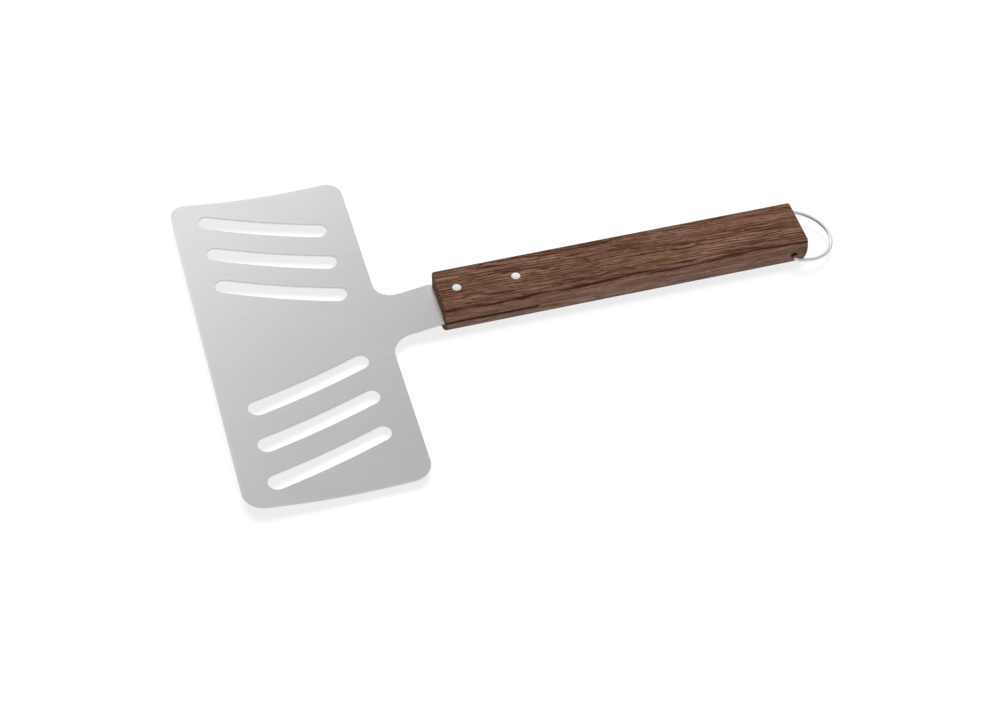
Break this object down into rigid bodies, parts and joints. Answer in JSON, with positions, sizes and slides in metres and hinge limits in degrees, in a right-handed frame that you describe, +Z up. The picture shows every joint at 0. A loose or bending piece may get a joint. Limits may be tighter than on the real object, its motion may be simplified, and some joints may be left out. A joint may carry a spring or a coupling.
{
  "type": "kitchen turner",
  "caption": "Wide slotted kitchen turner: curved sheet-steel blade on a cranked neck, riveted into a kerf in a flat wooden handle, with a swinging wire hanging loop.",
  "frame": {"origin": "under the middle of the whole turner, on the surface that it lies on", "axes": "+X from the blade to the handle's rear end, +Y to the blade's far side, +Z up from the surface"},
  "size_m": [0.3776, 0.24, 0.0175],
  "materials": {
    "sheet_steel": "satin brushed",
    "wood": "oiled, open grain",
    "rivet_steel": "ground flush",
    "wire": "bright"
  },
  "bodies": {
    "turner": {"blade": "sheet_steel", "handle": "wood", "front_rivet": "rivet_steel", "rear_rivet": "rivet_steel"},
    "loop": {"hanging_loop": "wire"}
  },
  "joints": [
    {"name": "loop_swing", "type": "hinge", "parent": "turner", "child": "loop", "pos_m": [0.15921, 0, 0.0058], "axis": [0, -1, 0], "range_deg": [-149, 149]}
  ]
}
